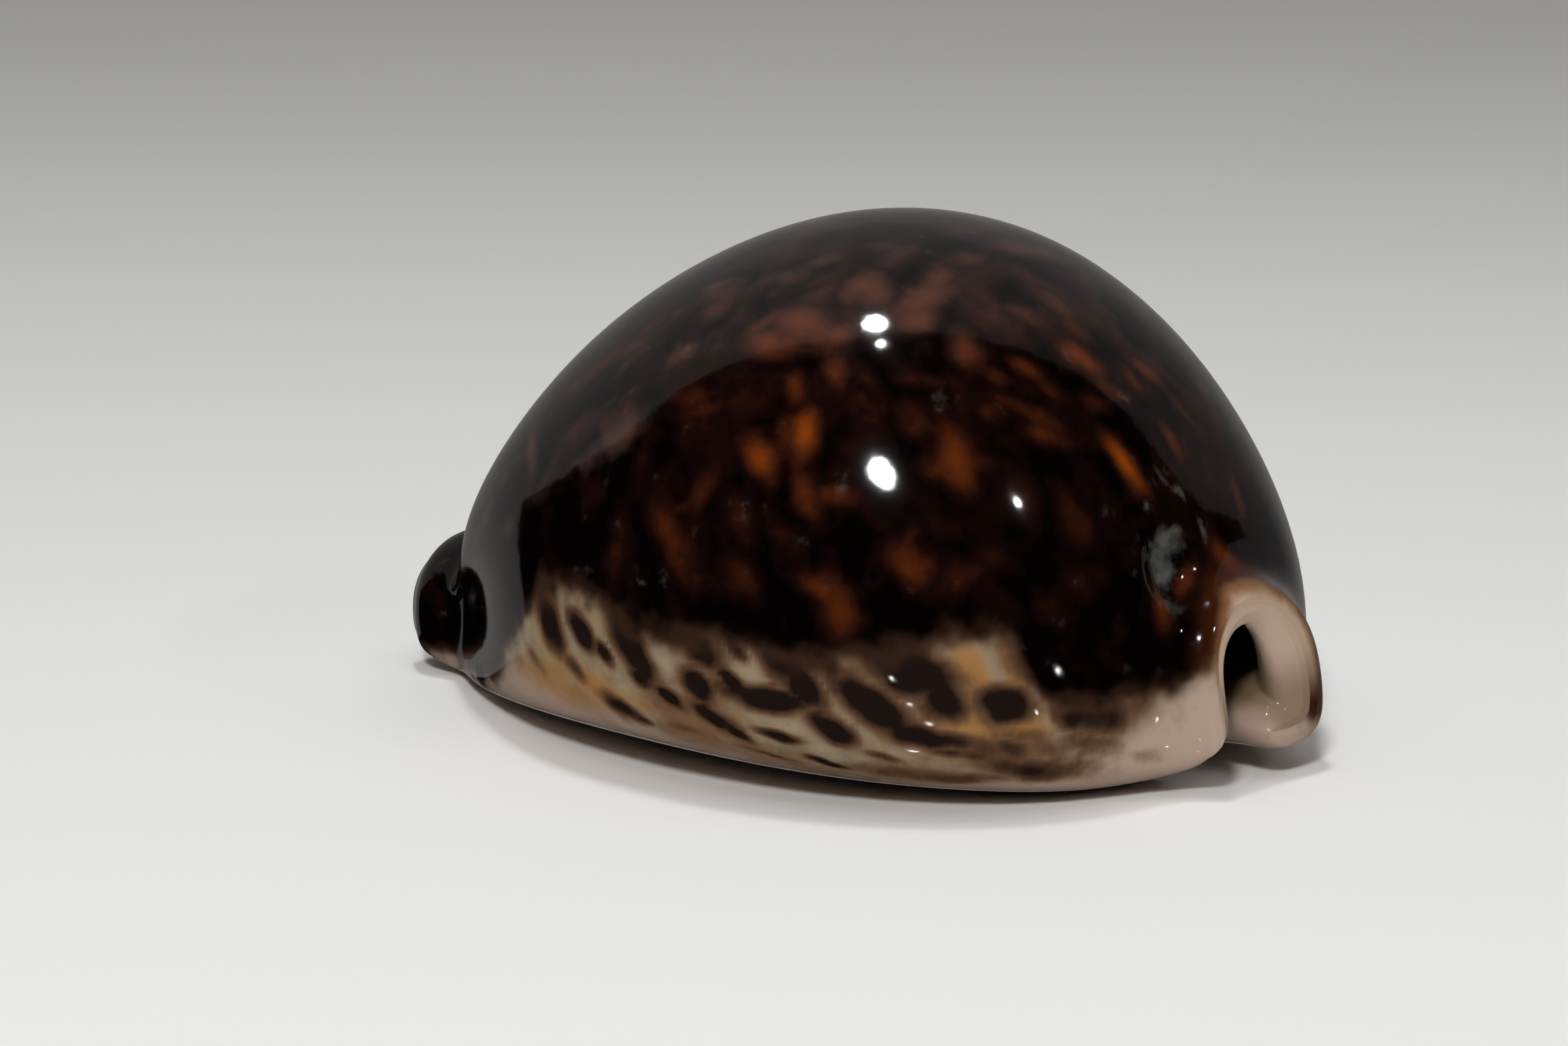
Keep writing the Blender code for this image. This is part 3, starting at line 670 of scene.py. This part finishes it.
# The coat. It is thin in the amber strokes and, more faintly, in the gaps between rounded dark blotches; the
# crown of the back, from 19 to 25 mm above the coat's edge, is paler and duller, partly its own colour and
# partly painted reflection of the canopy that the back mirrors there. Over it go the painted reflections on
# the left shoulder and in the spire pit.
BLOTCHES_PER_METRE, BLOTCH_BLEND = 190, 0.4
FLANK_GLOW, CROWN_EXTRA = 0.15, 0.17
COAT_STOPS = ((0.06, (0.0015, 0.0006, 0.0005)), (0.24, (0.010, 0.0028, 0.0019)),
              (0.42, (0.034, 0.0080, 0.0032)), (0.70, (0.105, 0.022, 0.0040)), (1.0, (0.25, 0.050, 0.005)))
CROWN_AND_REFLECTION_STOPS = ((0.06, (0.0030, 0.0016, 0.0014)), (0.24, (0.014, 0.0070, 0.0055)),
               (0.42, (0.038, 0.0160, 0.0110)), (0.70, (0.085, 0.0330, 0.0200)), (1.0, (0.12, 0.046, 0.026)))
# The colour of the painted reflection on the left shoulder.
SHOULDER_REFLECTION_COLOUR = (0.068, 0.038, 0.030)
blotches = nodes.new("ShaderNodeTexVoronoi")
blotches.feature, blotches.distance = "SMOOTH_F1", "EUCLIDEAN"
links.new(where_on_shell, blotches.inputs["Vector"])
blotches.inputs["Scale"].default_value = BLOTCHES_PER_METRE
blotches.inputs["Smoothness"].default_value = BLOTCH_BLEND
gaps = maths("MULTIPLY", step(blotches.outputs["Distance"], 0.26, 0.60), step(broad, 0.30, 0.58))
gap_glow = maths("ADD", maths("MULTIPLY", step(mark("coat"), 10, 24), CROWN_EXTRA), FLANK_GLOW)
glow = wobbled(maths("MAXIMUM", mark("amber"), maths("MULTIPLY", gaps, gap_glow)), lumpy, 0.5)
on_back = layered(step(mark("coat"), 19, 25), colours(glow, *COAT_STOPS), colours(glow, *CROWN_AND_REFLECTION_STOPS))
with_shoulder_reflection = layered(step(wobbled(mark("painted_shoulder_reflection"), lumpy, 0.9), 0.15, 1.1), on_back, SHOULDER_REFLECTION_COLOUR)
# The painted reflection in the spire pit and along its lines: a mottled grey laid over the coat.
pit_reflection_grey = colours(lumpy, (0.36, (0.018, 0.020, 0.018)), (0.62, (0.105, 0.105, 0.090)))
with_pit_reflection = layered(step(wobbled(mark("painted_pit_reflection"), lumpy, 1.6), 0.2, 0.9), with_shoulder_reflection, pit_reflection_grey)

# The rear canal's rim: a red-brown fringe in the coat, then a tan and a cream band, in mm from the rim. Low
# down, in metres over the table, the bands give way to the pale base. The coat itself ends in a thin brown
# edge, in mm over its edge line.
FRINGE_BAND, TAN_BAND, CREAM_BAND, BANDS_ABOVE = (5.4, 2.4), (2.9, 1.3), (1.7, 0.3), (0.0055, 0.0115)
THIN_EDGE, BLACK_EDGE, EDGE_LUMPS, EDGE_WANDER = (-2.4, 0.4), (-1.2, 1.4), 300, 4.5
FRINGE, THIN_COAT, TAN_RIM, CREAM_RIM = ((0.045, 0.011, 0.003), (0.060, 0.028, 0.016), (0.26, 0.125, 0.055),
                                         (0.58, 0.42, 0.30))
canal_mm = wobbled(mark("from_canal"), medium, 1.6)
shell_xyz = nodes.new("ShaderNodeSeparateXYZ")
links.new(where_on_shell, shell_xyz.inputs[0])
upper = step(shell_xyz.outputs["Z"], *BANDS_ABOVE)
fringed = layered(step(canal_mm, *FRINGE_BAND), with_pit_reflection, FRINGE)
coat_depth = wobbled(mark("coat"), mottle(EDGE_LUMPS), EDGE_WANDER)
thinned = layered(step(coat_depth, *THIN_EDGE), spotted_and_shaded, THIN_COAT)
coated = layered(step(coat_depth, *BLACK_EDGE), thinned, fringed)
tan_rimmed = layered(maths("MULTIPLY", step(canal_mm, *TAN_BAND), upper), coated, TAN_RIM)
rimmed = layered(maths("MULTIPLY", step(canal_mm, *CREAM_BAND), upper), tan_rimmed, CREAM_RIM)

# The lining of the hollow: pinkish cream at the rim, dark from 8 mm in as painted shade inside the hollow,
# and browner low down by the slit.
LOW_LINING, LOW_SHARE, LINING_DARKENS, LINING_LOW = (0.20, 0.135, 0.078), 0.75, (0.0, 8.0), (0.0110, 0.0065)
shaded_depths = colours(step(canal_mm, *LINING_DARKENS), (0.0, (0.62, 0.45, 0.34)), (0.3, (0.60, 0.45, 0.35)),
               (0.55, (0.22, 0.15, 0.09)), (1.0, (0.075, 0.055, 0.035)))
low = step(shell_xyz.outputs["Z"], *LINING_LOW)
lining = layered(maths("MULTIPLY", low, LOW_SHARE), shaded_depths, LOW_LINING)
links.new(layered(mark("inside"), rimmed, lining), glaze.inputs["Base Color"])

# The polish: a hard gloss with faint ripples.
GLOSS_ROUGHNESS, GLOSS_IOR = 0.07, 1.5
RIPPLES_PER_METRE, RIPPLE_STRENGTH, RIPPLE_HEIGHT = 420, 0.15, 0.1 * MM
glaze.inputs["Roughness"].default_value = GLOSS_ROUGHNESS
glaze.inputs["IOR"].default_value = GLOSS_IOR
ripple = nodes.new("ShaderNodeBump")
ripple.inputs["Strength"].default_value = RIPPLE_STRENGTH
ripple.inputs["Distance"].default_value = RIPPLE_HEIGHT
links.new(mottle(RIPPLES_PER_METRE), ripple.inputs["Height"])
links.new(ripple.outputs["Normal"], glaze.inputs["Normal"])

shell.data.materials.append(enamel)
bpy.context.view_layer.objects.active = shell
shell.data.shade_smooth()
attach(shell, "root")
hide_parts("cowrie_shell")

# The table: a plain, pale, matt surface, wide enough to fill the picture. The polished shell doesn't mirror
# it, so that its dark flanks stay dark.
TABLE_WIDTH, TABLE_COLOUR, TABLE_ROUGHNESS = 6, (0.95, 0.95, 0.94, 1), 0.9
bpy.ops.mesh.primitive_plane_add(size=TABLE_WIDTH, location=(0, 0, 0))
table = bpy.context.object
table.name = table.data.name = "table"
table.location.z = cad_low[2]
tabletop = bpy.data.materials.new("tabletop")
tabletop.use_nodes = True
matt = tabletop.node_tree.nodes["Principled BSDF"]
matt.inputs["Base Color"].default_value = TABLE_COLOUR
matt.inputs["Roughness"].default_value = TABLE_ROUGHNESS
table.data.materials.append(tabletop)
table.visible_glossy = False

# The canopy: a wide, pale, glowing cloth above and behind the shell and down to its left. Its front edge is
# what the polished back mirrors as an arc, and it is dimmer towards the right, from DIMS_FROM to DIMS_TO.
CANOPY_HEIGHT, CANOPY_DROP = 0.6, -1.4
CANOPY_LEFT, CANOPY_RIGHT, CANOPY_BACK = -3.6, 1.2, 2.6
CANOPY_EDGE = [(CANOPY_LEFT, -0.45), (-1.39, -0.41), (-0.78, -0.24), (-0.44, -0.17), (-0.2, -0.12),
               (-0.06, -0.07), (0.01, -0.02), (0.12, 0.09), (0.23, 0.24), (0.34, 0.44), (0.46, 0.74),
               (0.6, 1.01), (0.85, 1.39), (CANOPY_RIGHT, 1.9)]
SIDE_FRONT = [(0.19, CANOPY_DROP), (0.19, 0.06), (-0.1, 0.32)]
CLOTH_GLOW, DIM_GLOW, DIMS_FROM, DIMS_TO, CLOTH_TINT = 0.21, 0.1, -0.35, 0.35, (1, 0.97, 0.95, 1)
roof = [(x, y, CANOPY_HEIGHT) for x, y in CANOPY_EDGE
        + [(CANOPY_RIGHT, CANOPY_BACK), (CANOPY_LEFT, CANOPY_BACK)]]
back_foot = [(CANOPY_RIGHT, CANOPY_BACK, CANOPY_DROP), (CANOPY_LEFT, CANOPY_BACK, CANOPY_DROP)]
side_front = [(CANOPY_LEFT, y, z) for y, z in SIDE_FRONT]
corner_count = len(roof)
canopy_mesh = bpy.data.meshes.new("canopy")
canopy_mesh.from_pydata(roof + back_foot + side_front, [], [
    tuple(range(corner_count)),
    (corner_count - 2, corner_count - 1, corner_count + 1, corner_count),
    (corner_count - 1, corner_count + 1, corner_count + 2, corner_count + 3, corner_count + 4, 0)])
canopy = bpy.data.objects.new("canopy", canopy_mesh)
bpy.context.scene.collection.objects.link(canopy)
cloth = bpy.data.materials.new("canopy light")
cloth.use_nodes = True
cloth_nodes, cloth_links = cloth.node_tree.nodes, cloth.node_tree.links
glowing = cloth_nodes["Principled BSDF"]
glowing.inputs["Base Color"].default_value = (0, 0, 0, 1)
glowing.inputs["Specular IOR Level"].default_value = 0
glowing.inputs["Emission Color"].default_value = CLOTH_TINT
cloth_xyz = cloth_nodes.new("ShaderNodeSeparateXYZ")
dimming = cloth_nodes.new("ShaderNodeMapRange")
cloth_links.new(cloth_nodes.new("ShaderNodeTexCoord").outputs["Object"], cloth_xyz.inputs[0])
cloth_links.new(cloth_xyz.outputs["X"], dimming.inputs["Value"])
for socket, value in (("From Min", DIMS_FROM), ("From Max", DIMS_TO), ("To Min", CLOTH_GLOW),
                      ("To Max", DIM_GLOW)):
    dimming.inputs[socket].default_value = value
cloth_links.new(dimming.outputs["Result"], glowing.inputs["Emission Strength"])
canopy.data.materials.append(cloth)

# The lamps: round softboxes, mirrored as the sharp highlights. One key in front, two over the top, one at
# the right and six tiny ones low down; then a wide fill overhead, which isn't mirrored.
LAMPS = {  # the direction it shines from (height angle, turn from +X), distance, width and power in watts
    "key softbox": ((42, -67), 1.0, 0.15, 4.2),
    "top softbox": ((85.7, 174), 0.5, 0.065, 0.55),
    "top lamp": ((84, -75), 0.5, 0.03, 0.11),
    "side lamp": ((34, -5), 1.2, 0.05, 0.5),
    "low lamp 1": ((-20, -70), 0.9, 0.022, 0.05),
    "low lamp 2": ((-30, -66), 0.9, 0.018, 0.03),
    "low lamp 3": ((-11, -4), 0.9, 0.024, 0.05),
    "low lamp 4": ((-23, -15), 0.9, 0.020, 0.04),
    "low lamp 5": ((-66, -78), 0.9, 0.030, 0.06),
    "low lamp 6": ((-39, -61), 0.9, 0.030, 0.05),
}


def area_lamp(name, place, width, watts):
    lamp = bpy.data.objects.new(name, bpy.data.lights.new(name, "AREA"))
    bpy.context.scene.collection.objects.link(lamp)
    lamp.location = place
    lamp.data.size, lamp.data.energy = width, watts
    return lamp


for name, ((height, turn), distance, width, watts) in LAMPS.items():
    height, turn = math.radians(height), math.radians(turn)
    from_shell = Vector((math.cos(height) * math.cos(turn), math.cos(height) * math.sin(turn),
                         math.sin(height)))
    lamp = area_lamp(name, LOOKED_AT + from_shell * distance, width, watts)
    lamp.rotation_euler = from_shell.to_track_quat("Z", "Y").to_euler()
    lamp.data.shape = "DISK"

FILL_AT, FILL_WIDTH, FILL_WATTS = (0, 0.3, 2.2), 3.0, 30
area_lamp("fill", FILL_AT, FILL_WIDTH, FILL_WATTS).visible_glossy = False

ROOM_GLOW = 0.003
world = bpy.data.worlds.new("room")
bpy.context.scene.world = world
world.use_nodes = True
world.node_tree.nodes["Background"].inputs["Color"].default_value = (1, 1, 1, 1)
world.node_tree.nodes["Background"].inputs["Strength"].default_value = ROOM_GLOW
bpy.context.scene.view_settings.view_transform = "Standard"
